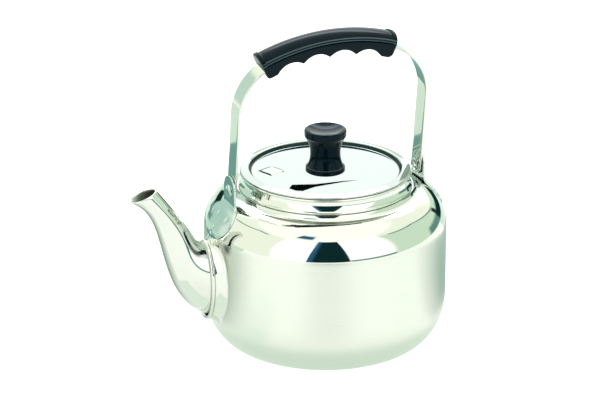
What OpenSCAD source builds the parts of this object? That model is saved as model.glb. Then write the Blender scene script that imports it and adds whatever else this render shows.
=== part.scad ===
// Stovetop kettle with a lift-off lid, a swinging bail handle and a swept spout.
// Frame: the origin is the centre of the flat base, +Z is up and the spout points along -X.
// The bail swings about an axis along X, through the two rivets. Units are millimetres.

/* [Pot] */
// Outside radius of the pot wall
pot_r = 100; // [98:0.5:102]
// Radius of the flat part of the base
base_r = 70; // [68:0.5:72]
// Height at which the rounded bottom edge becomes the straight wall
corner_h = 42.5; // [40:0.5:44]
// Height at which the wall starts to curve into the shoulder
wall_top = 100; // [99:0.5:101]
// Height of the seam between the satin pot and the polished shoulder
seam_z = 104; // [102:0.5:106]
// Radius of the shoulder's curve
shoulder_r = 31; // [31]
// Thickness of the pressed steel sheet
sheet = 1; // [0.8:0.1:1]

/* [Neck and lid] */
// Inside radius of the neck
mouth_r = 67; // [67]
// Height of the middle of the neck's rolled rim
rim_z = 145.2; // [145:0.1:145.4]
// Radius of the rolled rim's section
rim_bead = 1.2; // [1:0.1:1.3]
// Outside radius of the lid's brim
brim_r = 70; // [69.5:0.5:70.5]
// Radius of the lid's sunk middle panel
panel_r = 61.5; // [61:0.5:62]
// Height of the top face of the lid's middle panel
panel_z = 146; // [146]
// Depth that the lid's collar reaches below the brim
collar_depth = 10; // [8:1:12]

/* [Lid vent and whistle] */
// Distance of the vent from the lid's centre
vent_distance = 43.5; // [42:0.5:45]
// Angle of the vent round the lid, from the spout's side
vent_angle = 20; // [16:1:24]
// Turn of the vent's long side away from the spout's direction
vent_turn = 22; // [15:1:30]
// Length of the vent's hood
vent_len = 14; // [12:0.5:15]
// Width of the vent's hood
vent_w = 14; // [12:0.5:15]
// Outside radius of the whistle's cup
whistle_r = 12; // [11:0.5:12]
// Radius of the hole through both whistle plates
whistle_hole_r = 1.6; // [1.2:0.1:2]

/* [Knob] */
// Height of the knob above the lid's panel
knob_h = 36; // [34:1:38]
// Radius of the knob's rim
knob_rim_r = 17.3; // [17:0.1:17.5]
// Radius of the knob's waist
knob_waist_r = 12.4; // [12:0.1:13]

/* [Bail] */
// Height of the rivets that the bail swings on
pivot_z = 140; // [139.5:0.5:140.5]
// Distance of the bail strap's middle plane from the centre plane, at its legs
leg_x = 82.4; // [82.4]
// Width of the bail strap
strap_w = 17; // [16:0.5:18]
// Thickness of the bail strap
strap_t = 1.6; // [1.6]
// Height of the bail's top above the rivets
bail_top = 121.5; // [120.5:0.5:123]
// Radius of the bail's top arc
bail_arc_r = 156; // [154:1:158]
// Half of the angle that the bail's top arc spans
bail_arc_half = 18.5; // [18.5]
// Lean of the bail at rest, away from upright
bail_lean = 7.5; // [0:0.5:10]

/* [Grip] */
// Radius of the arc that the grip is built along
grip_arc_r = 152; // [152]
// Half of the angle that the grip spans on its arc
grip_half = 21.4; // [21:0.1:21.6]
// Angle by which the grip sits off the bail's middle, towards the spout
grip_shift = 2.6; // [0:0.2:2.8]
// Full width of the grip
grip_w = 23; // [22:0.5:24]
// Height of the split between the grip's halves, above the grip's arc
grip_split = 6.5; // [6:0.5:7]
// Height of the grip's rounded back above the split
grip_back = 6.6; // [6:0.2:7]
// Depth of the grip's finger side below the grip's arc
grip_belly = 6; // [5.5:0.5:6.5]
// Angle between neighbouring finger grooves
finger_pitch = 8.9; // [8.6:0.1:9.1]
// Radius of each finger groove
finger_r = 15; // [14:0.5:16]
// Height of the grooves' deepest line, below the grip's arc
finger_floor = 1; // [0.8:0.1:1.2]

/* [Ears] */
// Thickness of the ears' plate
ear_t = 1.6; // [1.6]
// Half of the width of an ear's welded pad
pad_half_w = 21; // [19:0.5:22]
// Half of the height of an ear's welded pad
pad_half_h = 14; // [13:0.5:14]
// Height of the middle of an ear's welded pad
pad_z = 117; // [116:0.5:117]
// Radius of the rounded top of an ear
tongue_r = 11.2; // [10.5:0.1:11.5]
// Radius of the rivets' shanks
rivet_r = 3; // [3]

/* [Spout] */
// Wall of the spout
spout_wall = 1; // [0.8:0.1:1.2]
// Height of the spout's foot on the pot wall
foot_low = 34.5; // [34:0.5:35]
// Height of the top of the spout's root on the pot wall
foot_high = 98; // [97.5:0.5:98]
// Half of the width of the collar at the pot wall
collar_half_w = 27; // [25:0.5:28]
// Radius of the welded bead's section
bead_r = 1.8; // [1.6:0.1:2]

/* [Hidden] */

round_fn = 128;
small_fn = 48;
far = 400;

shoulder_cx = pot_r - shoulder_r;
shoulder_top = wall_top + shoulder_r;

steel_satin = [0.86, 0.88, 0.85];
steel_bright = [0.80, 0.84, 0.82];
steel_ear = [0.72, 0.80, 0.77];
bakelite = [0.05, 0.07, 0.08];
brass_colour = [0.75, 0.62, 0.32];

// Section of the pot and shoulder, filled to the axis and shrunk inwards by inset
module body_section(inset) {
    corner_a = pot_r - base_r;
    steps = 24;
    corner = [for (i = [0 : steps])
        [base_r + (corner_a - inset) * sin(90 * i / steps),
         corner_h - (corner_h - inset) * cos(90 * i / steps)]];
    union() {
        polygon(concat([[0, inset]], corner, [[pot_r - inset, wall_top], [0, wall_top]]));
        intersection() {
            translate([shoulder_cx, wall_top]) circle(shoulder_r - inset, $fn = round_fn);
            translate([shoulder_cx, wall_top]) square([shoulder_r, shoulder_r]);
        }
        translate([0, wall_top - 1]) square([shoulder_cx, shoulder_r + 1 - inset]);
    }
}

module body_solid() {
    rotate_extrude($fn = 3 * round_fn) body_section(0);
}

// The pot's wall and base, pierced behind the spout by a round pattern of strainer holes
module pot_shell() {
    hole_r = 3.2;
    hole_pitch = 10;
    color(steel_satin) difference() {
        rotate_extrude($fn = round_fn) difference() {
            body_section(0);
            body_section(sheet);
            translate([-far, seam_z]) square([2 * far, far]);
        }
        for (row = [-2 : 2]) for (col = [-1 : 1])
            translate([-pot_r, col * hole_pitch, (foot_low + foot_high) / 2 + row * hole_pitch])
                rotate([0, 90, 0]) cylinder(r = hole_r, h = 12, center = true, $fn = small_fn);
    }
}

module shoulder_shell() {
    color(steel_bright) rotate_extrude($fn = round_fn) intersection() {
        difference() {
            body_section(0);
            body_section(sheet);
        }
        translate([mouth_r, seam_z]) square([far, far]);
    }
}

// The neck stands on the shoulder on a flared foot, and ends in a rolled rim
module neck_ring() {
    foot_angle = 15;
    flare_r = 7;
    bead_section_r = 1.9;
    bead_offset = 2.6;
    rim_offset = 1.85;
    bead = [mouth_r + bead_offset, shoulder_top + bead_offset];
    toward_foot = [sin(foot_angle), cos(foot_angle)];
    foot_edge = (shoulder_r - 1) * toward_foot;
    flare_centre = (shoulder_r + flare_r) * toward_foot;
    flare_top = bead + [bead_section_r - 0.3 - shoulder_cx, -wall_top];
    color(steel_bright) rotate_extrude($fn = round_fn) difference() {
        union() {
            translate([mouth_r, shoulder_top - sheet]) square([sheet, rim_z - shoulder_top + sheet]);
            translate(bead) circle(bead_section_r, $fn = small_fn);
            translate([shoulder_cx, wall_top]) difference() {
                polygon([
                    [-3, shoulder_r - 2], foot_edge, flare_centre,
                    flare_top, [mouth_r - shoulder_cx + 0.5, flare_top[1]],
                ]);
                translate(flare_centre) circle(flare_r, $fn = round_fn);
            }
            translate([mouth_r + rim_offset, rim_z]) circle(rim_bead, $fn = small_fn);
        }
        translate([shoulder_cx, wall_top]) circle(shoulder_r, $fn = round_fn);
        square([mouth_r, far]);
        square([shoulder_cx, shoulder_top]);
    }
}

// A point on a smooth curve guided by a list of control points, at t from 0 to 1
function guided(points, t) =
    len(points) == 1 ? points[0] :
    guided([for (i = [0 : len(points) - 2]) points[i] * (1 - t) + points[i + 1] * t], t);

// Side view of the spout: the belly line, the back line and the half-width, from root to mouth
spout_belly = [[-99, foot_low], [-109, 38], [-141, 40], [-146, 98.5], [-139, 127], [-170.5, 143.5]];
spout_back = [[-99, foot_high], [-109, 96], [-126, 110.5], [-100, 89.5], [-148, 151]];
spout_half_w = [17.2, 17.1, 9.6, 8.3];
spout_rings = 26;
spout_sides = 32;

// One oval ring of the spout at t, shrunk inwards by inset and moved along X by shift
function spout_ring(t, inset, shift) =
    let (low = guided(spout_belly, t), high = guided(spout_back, t), mid = (low + high) / 2)
    let (half = (high - low) / 2, half_len = norm(half))
    let (tall = half * (half_len - inset) / half_len, wide = guided(spout_half_w, t) - inset)
    [for (k = [0 : spout_sides - 1]) let (a = 360 * k / spout_sides)
        [mid[0] + tall[0] * cos(a) + shift, wide * sin(a), mid[1] + tall[1] * cos(a)]];

// A closed pipe: outer rings from the first to the last, then inner rings back again.
module ring_loop(rings) {
    n = len(rings);
    sides = len(rings[0]);
    points = [for (ring = rings) for (p = ring) p];
    faces = [for (i = [0 : n - 1]) for (k = [0 : sides - 1])
        let (j = (i + 1) % n, m = (k + 1) % sides)
        for (face = [[i * sides + k, i * sides + m, j * sides + m], [i * sides + k, j * sides + m, j * sides + k]])
            face];
    polyhedron(points = points, faces = faces, convexity = 8);
}

module spout() {
    steps = [for (i = [0 : spout_rings]) i / spout_rings];
    root_overlap = 3;
    outer = concat([spout_ring(0, 0, root_overlap)], [for (t = steps) spout_ring(t, 0, 0)]);
    inner = concat([for (t = steps) spout_ring(1 - t, spout_wall, 0)], [spout_ring(0, spout_wall, root_overlap)]);
    color(steel_bright) difference() {
        ring_loop(concat(outer, inner));
        body_solid();
    }
}

spout_root_z = (foot_low + foot_high) / 2;
spout_root_h = (foot_high - foot_low) / 2;

// An upright oval round the spout's root, at distance x from the pot's axis
function root_oval(x, half_w, half_h) =
    [for (k = [0 : spout_sides - 1]) let (a = 360 * k / spout_sides)
        [-x, half_w * sin(a), spout_root_z + half_h * cos(a)]];

// The flared collar that carries the pot wall out to the spout
module spout_collar() {
    steps = 6;
    reach = 5.5;
    flare_h = 7;
    lip_gap = 1.6;
    bore_gap = 0.4;
    inset = 2.6;
    heel_x = pot_r - 8;
    lip_w = spout_half_w[0] + lip_gap;
    lip_h = spout_root_h + lip_gap;
    bore_w = spout_half_w[0] + bore_gap;
    bore_h = spout_root_h + bore_gap;
    flare_w = collar_half_w - lip_w;
    outside = [for (i = [0 : steps]) let (a = 90 * i / steps)
        root_oval(pot_r - inset + (reach + inset) * (1 - cos(a)),
            lip_w + flare_w * (1 - sin(a)), lip_h + flare_h * (1 - sin(a)))];
    bore = [root_oval(pot_r + reach, bore_w, bore_h), root_oval(heel_x, bore_w, bore_h)];
    heel = [root_oval(heel_x, collar_half_w, lip_h + flare_h)];
    color(steel_bright) difference() {
        ring_loop(concat(heel, outside, bore));
        body_solid();
    }
}

// The bead of weld that closes the joint between spout and collar
module spout_bead() {
    sides = 10;
    bead_x = pot_r + 6.3;
    half_w = spout_half_w[0] + 1.2;
    half_h = spout_root_h + 1;
    rings = [for (k = [0 : spout_sides - 1]) let (a = 360 * k / spout_sides)
        [for (j = [0 : sides - 1]) let (b = 360 * j / sides)
            [-(bead_x + bead_r * sin(b)),
             (half_w + bead_r * cos(b)) * sin(a),
             spout_root_z + (half_h + bead_r * cos(b)) * cos(a)]]];
    color(steel_bright) ring_loop(rings);
}

// Ears, rivets and washers: side is -1 at the spout and 1 at the back
strap_gap = 0.3;
tongue_x = leg_x + strap_t / 2 + strap_gap;
crease_z = 129.5;
washer_t = 0.8;
washer_r = 7.4;
head_gap = 0.15;
running_gap = 0.08;

module to_side(side) {
    rotate([0, 0, side > 0 ? 0 : 180]) children();
}

// The sheet of an ear's pad before it is trimmed: a layer on the shoulder, up to just below its top
module pad_layer() {
    rotate_extrude($fn = round_fn) translate([shoulder_cx, wall_top]) difference() {
        circle(shoulder_r + ear_t, $fn = round_fn);
        circle(shoulder_r, $fn = round_fn);
        translate([-far, -far]) square([far, 2 * far]);
        translate([-far, shoulder_r - 1.5]) square([2 * far, far]);
    }
}

// A pad welded to the shoulder, bent up at the crease into the tongue that holds the rivet
module ear(side) {
    tongue_z = pivot_z + 2;
    foot_z = crease_z - 2.2;
    color(steel_ear) to_side(side) difference() {
        union() {
            intersection() {
                pad_layer();
                rotate([90, 0, 90]) linear_extrude(far) intersection() {
                    polygon([for (a = [0 : 10 : 350]) [pad_half_w * cos(a), pad_z + pad_half_h * sin(a)]]);
                    translate([-far, 0]) square([2 * far, crease_z]);
                }
                translate([tongue_x, -far, 0]) cube([far, 2 * far, far]);
            }
            translate([tongue_x, 0, 0]) rotate([90, 0, 90]) linear_extrude(ear_t) union() {
                translate([0, tongue_z]) circle(tongue_r, $fn = small_fn);
                polygon([
                    [-tongue_r, tongue_z], [-tongue_r - 1, foot_z],
                    [tongue_r + 1, foot_z], [tongue_r, tongue_z],
                ]);
            }
        }
        translate([tongue_x - 2, 0, pivot_z]) rotate([0, 90, 0]) cylinder(r = rivet_r, h = 8, $fn = small_fn);
        body_solid();
    }
}

module front_ear() { ear(-1); }
module rear_ear() { ear(1); }

// A rivet's shank passes the washer, the strap and the ear, between its two domed heads
module pivot_rivet(side) {
    head_r = 5.6;
    head_h = 1.8;
    inner_x = leg_x - strap_t / 2 - washer_t - head_gap;
    outer_x = tongue_x + ear_t;
    crown = [[head_r * 0.55, head_h], [head_r * 0.88, head_h * 0.6], [head_r, 0]];
    outline = concat(
        [[0, inner_x - head_h]],
        [for (p = crown) [p[0], inner_x - p[1]]],
        [[rivet_r, inner_x], [rivet_r, outer_x]],
        [for (i = [2 : -1 : 0]) [crown[i][0], outer_x + crown[i][1]]],
        [[0, outer_x + head_h]]);
    color(steel_ear) to_side(side) translate([0, 0, pivot_z]) rotate([0, 90, 0])
        rotate_extrude($fn = small_fn) polygon(outline);
}

module front_pivot_rivet() { pivot_rivet(-1); }
module rear_pivot_rivet() { pivot_rivet(1); }

// A washer between the bail strap's inner face and the rivet's head; it turns with the bail
module pivot_washer(side) {
    color(steel_ear) to_side(side)
        translate([leg_x - strap_t / 2 - washer_t, 0, pivot_z]) rotate([0, 90, 0]) difference() {
            cylinder(r = washer_r, h = washer_t, $fn = small_fn);
            translate([0, 0, -1]) cylinder(r = rivet_r + running_gap, h = 3, $fn = small_fn);
        }
}

// Everything on the bail is drawn upright and then leaned about the rivets
module leaned() {
    translate([0, 0, pivot_z]) rotate([bail_lean, 0, 0]) children();
}

module front_pivot_washer() { pivot_washer(-1); }
module rear_pivot_washer() { pivot_washer(1); }

// The bail's side arcs follow from its top arc and its legs
side_arc_r = (leg_x - bail_arc_r * sin(bail_arc_half)) / (1 - sin(bail_arc_half));
arc_centre_z = bail_top - bail_arc_r;
side_centre_x = leg_x - side_arc_r;
side_centre_z = arc_centre_z + (bail_arc_r - side_arc_r) * cos(bail_arc_half);

// A sector between two radii, from angle a0 to a1, counted from +x
module sector(r_in, r_out, a0, a1) {
    intersection() {
        difference() {
            circle(r_out, $fn = round_fn * 2);
            circle(r_in, $fn = round_fn * 2);
        }
        polygon([[0, 0], far * [cos(a0), sin(a0)], far * [cos((a0 + a1) / 2), sin((a0 + a1) / 2)],
            far * [cos(a1), sin(a1)]]);
    }
}

// Side view of the bail between an inner and an outer offset from its middle line
module bail_outline(inner, outer) {
    union() {
        translate([0, arc_centre_z])
            sector(bail_arc_r - inner, bail_arc_r + outer, 90 - bail_arc_half, 90 + bail_arc_half);
        for (side = [0, 1]) mirror([side, 0]) translate([side_centre_x, side_centre_z])
            sector(side_arc_r - inner, side_arc_r + outer, 0, 90 - bail_arc_half);
    }
}

module across(width) {
    rotate([90, 0, 0]) translate([0, 0, -width / 2]) linear_extrude(width) children();
}

screw_angle = 11;
screw_r = 1.55;
screw_head_r = 3.4;
screw_head_low = 3;
screw_head_h = 1.2;
screw_len = 8.6;

module at_screws() {
    translate([0, 0, arc_centre_z]) for (a = [-screw_angle, screw_angle]) rotate([0, a, 0]) children();
}

module bail_strap() {
    color(steel_bright) leaned() difference() {
        union() {
            across(strap_w) bail_outline(strap_t / 2, strap_t / 2);
            for (side = [-1, 1]) translate([side * leg_x - strap_t / 2, 0, 0]) rotate([90, 0, 90])
                linear_extrude(strap_t) union() {
                    translate([-strap_w / 2, 0]) square([strap_w, side_centre_z]);
                    circle(strap_w / 2, $fn = small_fn);
                }
        }
        rotate([0, 90, 0]) cylinder(r = rivet_r + running_gap, h = 2 * pot_r, center = true, $fn = small_fn);
        at_screws() cylinder(r = screw_r + 0.45, h = bail_arc_r + 20, $fn = small_fn);
    }
}

// The grip is a bent bar: its section is turned about the centre of the grip's arc
grip_centre_z = bail_top - 2.2 - grip_arc_r;

module grip_bar(from, to) {
    translate([0, 0, grip_centre_z]) rotate([90, 0, 0]) rotate([0, 0, 90 + grip_shift + from])
        rotate_extrude(angle = to - from, $fn = round_fn * 2) children();
}

function oval_back(half_w, height, base) =
    [for (i = [0 : 18]) [grip_arc_r + base + height * sin(10 * i), half_w * cos(10 * i)]];

// The space round the strap inside the grip, between an inner and an outer offset from its middle line
module slot_space(inner, outer) {
    across(strap_w) bail_outline(inner, outer);
}

// The grip's upper half: a rounded back with a raised collar at each end, and a rib that fills the slot
module grip_top() {
    collar_angle = 1.3;
    collar_proud = 1;
    rib_overlap = 2;
    collar_half_w = grip_w / 2;
    waste_w = 2 * grip_w;
    color(bakelite) leaned() difference() {
        union() {
            grip_bar(-grip_half, grip_half)
                polygon(oval_back(collar_half_w, grip_back + collar_proud, grip_split));
            intersection() {
                grip_bar(-grip_half, grip_half)
                    translate([grip_arc_r - grip_belly, -strap_w / 2])
                        square([grip_belly + grip_split + rib_overlap, strap_w]);
                slot_space(-strap_t / 2, 16);
            }
        }
        grip_bar(-grip_half + collar_angle, grip_half - collar_angle) difference() {
            translate([grip_arc_r + grip_split - 1, -waste_w / 2]) square([2 * grip_back, waste_w]);
            polygon(concat(
                oval_back(collar_half_w - collar_proud, grip_back, grip_split),
                [[grip_arc_r, collar_proud - collar_half_w], [grip_arc_r, collar_half_w - collar_proud]]));
        }
        at_screws() translate([0, 0, bail_arc_r - 1]) cylinder(r = screw_r + 0.05, h = 7, $fn = small_fn);
    }
}

module grip_bottom() {
    soften = 3.5;
    belly_r = grip_arc_r - grip_belly;
    fingers = 4;
    bore_h = 20;
    color(bakelite) leaned() difference() {
        grip_bar(-grip_half, grip_half) union() {
            translate([belly_r + soften, -grip_w / 2]) square([grip_belly - soften + grip_split, grip_w]);
            translate([belly_r, -grip_w / 2 + soften]) square([soften + 1, grip_w - 2 * soften]);
            for (side = [-1, 1]) translate([belly_r + soften, side * (grip_w / 2 - soften)])
                circle(soften, $fn = small_fn);
        }
        slot_space(strap_t / 2, 20);
        translate([0, 0, grip_centre_z]) for (i = [0 : fingers - 1])
            rotate([0, (i - (fingers - 1) / 2) * finger_pitch - grip_shift, 0])
                translate([0, 0, grip_arc_r - finger_floor - finger_r])
                    rotate([90, 0, 0]) cylinder(r = finger_r, h = 60, center = true, $fn = round_fn);
        at_screws() translate([0, 0, bail_arc_r - bore_h]) union() {
            cylinder(r = screw_r + 0.45, h = bore_h, $fn = small_fn);
            cylinder(r = screw_head_r + 0.2, h = bore_h - screw_head_low + screw_head_h, $fn = small_fn);
        }
    }
}

// Two screws clamp the halves of the grip on the strap from the finger side
module grip_screws() {
    slot_w = 0.8;
    color(steel_ear) leaned() at_screws() translate([0, 0, bail_arc_r - screw_head_low]) difference() {
        union() {
            cylinder(r = screw_head_r, h = screw_head_h, $fn = small_fn);
            cylinder(r = screw_r, h = screw_len, $fn = small_fn);
        }
        translate([-slot_w / 2, -5, -1]) cube([slot_w, 10, 1.6]);
    }
}

// Lid: the brim's sheet lies on a slope between its hem and the step down to the panel
hem_r = 0.8;
hem_z = rim_z + rim_bead + 0.3 + hem_r;
brim_rise = 1.4;
step_x = panel_r + 1;
brim_in_z = hem_z + brim_rise;

function brim_mid(x) = hem_z + brim_rise * (brim_r - hem_r - x) / (brim_r - hem_r - step_x);

module lid_section() {
    half_t = sheet / 2;
    union() {
        translate([brim_r - hem_r, hem_z]) circle(hem_r, $fn = small_fn);
        polygon([
            [step_x, brim_in_z - half_t], [brim_r - hem_r, hem_z - half_t],
            [brim_r - hem_r, hem_z + half_t], [step_x, brim_in_z + half_t],
        ]);
        translate([step_x, brim_in_z]) circle(half_t, $fn = small_fn);
        translate([panel_r + half_t, panel_z - half_t]) square([sheet, brim_in_z - panel_z + half_t]);
        translate([panel_r + sheet, panel_z - half_t]) circle(half_t, $fn = small_fn);
        translate([0, panel_z - sheet]) square([panel_r + sheet, sheet]);
    }
}

vent_pos = vent_distance * [-cos(vent_angle), sin(vent_angle), 0];
hood_rise = 2;

module at_vent() {
    translate(vent_pos) rotate([0, 0, vent_turn]) children();
}

// A wedge that is highest at -x and runs out at +x
module hood_wedge(length, width, height) {
    translate([-length / 2, 0, panel_z]) across(width)
        polygon([[0, -0.01], [length, -0.01], [length, 0], [0, height]]);
}

module lid_pan() {
    lip = 0.9;
    color(steel_bright) union() {
        difference() {
            rotate_extrude($fn = round_fn) lid_section();
            at_vent() translate([-vent_len / 2 + lip, -vent_w / 2 + lip, panel_z - 3])
                cube([vent_len * 0.6, vent_w - 2 * lip, 6]);
            translate([0, 0, panel_z - 5]) cylinder(r = lid_screw_r + 0.6, h = 10, $fn = small_fn);
        }
        at_vent() difference() {
            hood_wedge(vent_len, vent_w, hood_rise);
            translate([-1, 0, -lip]) hood_wedge(vent_len, vent_w - 2 * lip, hood_rise);
        }
    }
}

module lid_collar() {
    inner = mouth_r - 1.5;
    outer = mouth_r - 0.5;
    foot_z = hem_z - collar_depth;
    half_t = sheet / 2;
    color(steel_bright) rotate_extrude($fn = round_fn) union() {
        polygon([
            [inner, foot_z], [outer, foot_z],
            [outer, brim_mid(outer) - half_t], [inner, brim_mid(inner) - half_t],
        ]);
        translate([inner, foot_z]) circle(0.5, $fn = small_fn);
    }
}

// Knob fittings: a threaded insert in the knob, and a washer and screw from under the lid
insert_r = 4;
insert_h = 12.5;
insert_gap = 0.5;
lid_screw_r = 2;
lid_washer_t = 1;

// Knob: turned, with a concave waist and a dished top. Heights are above the lid's panel.
module lid_knob() {
    foot_r = 16.3;
    edge_r = 1.4;
    waist_arc_r = 26;
    waist_height = 15.3;
    dish_arc_r = 40;
    dish_depth = 2.6;
    half_h = knob_h / 2;
    color(bakelite) translate([0, 0, panel_z]) difference() {
        rotate_extrude($fn = round_fn) difference() {
            union() {
                square([foot_r, half_h]);
                translate([0, half_h]) square([knob_rim_r, half_h - edge_r]);
                translate([0, half_h]) square([knob_rim_r - edge_r, half_h]);
                translate([knob_rim_r - edge_r, knob_h - edge_r]) circle(edge_r, $fn = small_fn);
            }
            translate([knob_waist_r + waist_arc_r, waist_height]) circle(waist_arc_r, $fn = 2 * round_fn);
            translate([0, knob_h - dish_depth + dish_arc_r]) circle(dish_arc_r, $fn = 2 * round_fn);
        }
        translate([0, 0, -1]) cylinder(r = insert_r, h = insert_h + insert_gap + 1, $fn = small_fn);
    }
}

module knob_insert() {
    color(brass_colour) translate([0, 0, panel_z + insert_gap]) difference() {
        cylinder(r = insert_r, h = insert_h, $fn = small_fn);
        translate([0, 0, -1]) cylinder(r = lid_screw_r, h = insert_h - 0.5, $fn = small_fn);
    }
}

module knob_washer() {
    color(steel_ear) translate([0, 0, panel_z - sheet - lid_washer_t]) difference() {
        cylinder(r = 7, h = lid_washer_t, $fn = small_fn);
        translate([0, 0, -1]) cylinder(r = lid_screw_r + 0.2, h = 3, $fn = small_fn);
    }
}

module knob_screw() {
    head_h = 2.2;
    slot_w = 1;
    color(steel_ear) translate([0, 0, panel_z - sheet - lid_washer_t]) difference() {
        union() {
            translate([0, 0, -head_h]) cylinder(r = 3.8, h = head_h, $fn = small_fn);
            cylinder(r = lid_screw_r, h = 12, $fn = small_fn);
        }
        translate([-5, -slot_w / 2, -3]) cube([10, slot_w, 2]);
    }
}

// Whistle: a cup under the vent, closed by two plates with a small hole each
whistle_top = panel_z - sheet;
whistle_depth = 7;
whistle_wall = 0.8;
plate_gap = 3;

module whistle_cup() {
    color(steel_bright) translate([vent_pos[0], vent_pos[1], whistle_top - whistle_depth]) difference() {
        cylinder(r = whistle_r, h = whistle_depth, $fn = small_fn);
        translate([0, 0, whistle_wall]) cylinder(r = whistle_r - whistle_wall, h = whistle_depth, $fn = small_fn);
        translate([0, 0, -1]) cylinder(r = whistle_hole_r, h = 3, $fn = small_fn);
    }
}

module whistle_disc() {
    disc_z = whistle_top - whistle_depth + plate_gap;
    color(steel_bright) translate([vent_pos[0], vent_pos[1], disc_z]) difference() {
        cylinder(r = whistle_r - whistle_wall, h = whistle_wall, $fn = small_fn);
        translate([0, 0, -1]) cylinder(r = whistle_hole_r, h = 3, $fn = small_fn);
    }
}

pot_shell();
shoulder_shell();
neck_ring();
spout();
spout_collar();
spout_bead();
front_ear();
rear_ear();
front_pivot_rivet();
rear_pivot_rivet();
bail_strap();
front_pivot_washer();
rear_pivot_washer();
grip_top();
grip_bottom();
grip_screws();
lid_pan();
lid_collar();
lid_knob();
knob_insert();
knob_washer();
knob_screw();
whistle_cup();
whistle_disc();
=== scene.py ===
import math

import bmesh
import bpy
import numpy as np
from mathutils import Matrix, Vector


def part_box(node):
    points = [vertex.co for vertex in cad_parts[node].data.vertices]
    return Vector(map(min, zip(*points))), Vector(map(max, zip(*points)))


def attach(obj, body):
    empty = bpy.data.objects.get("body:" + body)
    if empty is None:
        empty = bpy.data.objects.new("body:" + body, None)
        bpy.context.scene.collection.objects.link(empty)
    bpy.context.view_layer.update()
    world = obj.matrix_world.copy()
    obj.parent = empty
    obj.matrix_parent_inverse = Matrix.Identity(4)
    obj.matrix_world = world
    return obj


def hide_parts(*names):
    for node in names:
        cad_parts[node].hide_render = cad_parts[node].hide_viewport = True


# A polished stovetop kettle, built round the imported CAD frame. Shapes are worked out in millimetres
# in the frame's own axes, and turned into metres where a mesh is made.

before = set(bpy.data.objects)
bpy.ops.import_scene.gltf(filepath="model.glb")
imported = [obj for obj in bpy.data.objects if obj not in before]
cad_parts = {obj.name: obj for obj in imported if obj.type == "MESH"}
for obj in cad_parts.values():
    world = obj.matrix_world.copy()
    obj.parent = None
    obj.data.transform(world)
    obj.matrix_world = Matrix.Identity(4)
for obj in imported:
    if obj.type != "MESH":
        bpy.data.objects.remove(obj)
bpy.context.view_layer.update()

MM = 0.001
AROUND = 256


def cad_box(node):
    """Lowest and highest corner of a CAD node, in millimetres."""
    low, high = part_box(node)
    return np.array(low) / MM, np.array(high) / MM


# ---------------------------------------------------------------- dimensions

SHEET = 1.0
POT_R = cad_box("pot_shell")[1][0]
SEAM_Z = cad_box("pot_shell")[1][2]
BASE_R = 70.0
CORNER_H = 42.5
WALL_TOP = 100.0
SHOULDER_R = 31.0
SHOULDER_CX = POT_R - SHOULDER_R
SHOULDER_AT = (SHOULDER_CX, WALL_TOP)
MOUTH_R = 67.0
RIM_Z = cad_box("neck_ring")[1][2] - 1.2
SEAM_OUTER = math.degrees(math.asin((SEAM_Z - WALL_TOP) / SHOULDER_R))
SEAM_INNER = math.degrees(math.asin((SEAM_Z - WALL_TOP) / (SHOULDER_R - SHEET)))

PIVOT_Z = float(np.mean([cad_box("rear_pivot_rivet")[i][2] for i in (0, 1)]))
STRAP_T = 1.6
STRAP_HALF_W = 8.5
LEG_X = 82.4
BAIL_ARC_R = 156.0
BAIL_ARC_HALF = 18.5
BAIL_TOP = 121.5
SIDE_ARC_R = (LEG_X - BAIL_ARC_R * math.sin(math.radians(BAIL_ARC_HALF))) / (
    1 - math.sin(math.radians(BAIL_ARC_HALF))
)
ARC_CENTRE_Z = BAIL_TOP - BAIL_ARC_R
SIDE_CENTRE = (
    LEG_X - SIDE_ARC_R,
    ARC_CENTRE_Z + (BAIL_ARC_R - SIDE_ARC_R) * math.cos(math.radians(BAIL_ARC_HALF)),
)
LEAN = math.radians(7.5)

GRIP_ARC_R = 152.0
GRIP_CENTRE_Z = BAIL_TOP - 2.2 - GRIP_ARC_R
GRIP_HALF = 21.4
GRIP_SHIFT = 2.6
GRIP_SPLIT = 6.5

EAR_T = 1.6
TONGUE_X = LEG_X + STRAP_T / 2 + 0.3
TONGUE_R = 11.2
TONGUE_Z = PIVOT_Z + 2.0
PAD_Z = 117.0
PAD_HALF_W = 21.0
PAD_HALF_H = 14.0

PANEL_Z = cad_box("lid_knob")[0][2]
PANEL_R = 61.5
BRIM_R = cad_box("lid_pan")[1][0]
HEM_R = 0.8
HEM_Z = RIM_Z + 1.2 + 0.3 + HEM_R
BRIM_IN = (PANEL_R + 1.0, HEM_Z + 1.4)
KNOB_H = cad_box("lid_knob")[1][2] - PANEL_Z


# ---------------------------------------------------------------- mesh helpers


def arc(centre, radius, start, end, steps=16):
    """Points on a circle, or on an ellipse where radius is a pair. Angles are degrees from +x."""
    rx, ry = radius if isinstance(radius, tuple) else (radius, radius)
    a = np.radians(np.linspace(start, end, steps + 1))
    return [(centre[0] + rx * math.cos(t), centre[1] + ry * math.sin(t)) for t in a]


def line(start, end, step=2.0):
    """Points from start to end, no further apart than step, so that shading bends only near the ends."""
    start, end = np.array(start, float), np.array(end, float)
    count = max(1, math.ceil(np.linalg.norm(end - start) / step))
    return [tuple(start + (end - start) * i / count) for i in range(count + 1)]


def full_turn(count):
    """Evenly spaced angles round a circle."""
    return np.linspace(0, 2 * math.pi, count, endpoint=False)


def polar(centre, radius, degrees):
    """The point at a distance and an angle from a centre."""
    a = math.radians(degrees)
    return centre[0] + radius * math.cos(a), centre[1] + radius * math.sin(a)


def path(*parts):
    """Joins stretches of points and drops the points that repeat."""
    points = [p for part in parts for p in part]
    kept = [points[0]]
    for p in points[1:]:
        if math.dist(p, kept[-1]) > 1e-4:
            kept.append(p)
    return kept


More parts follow.
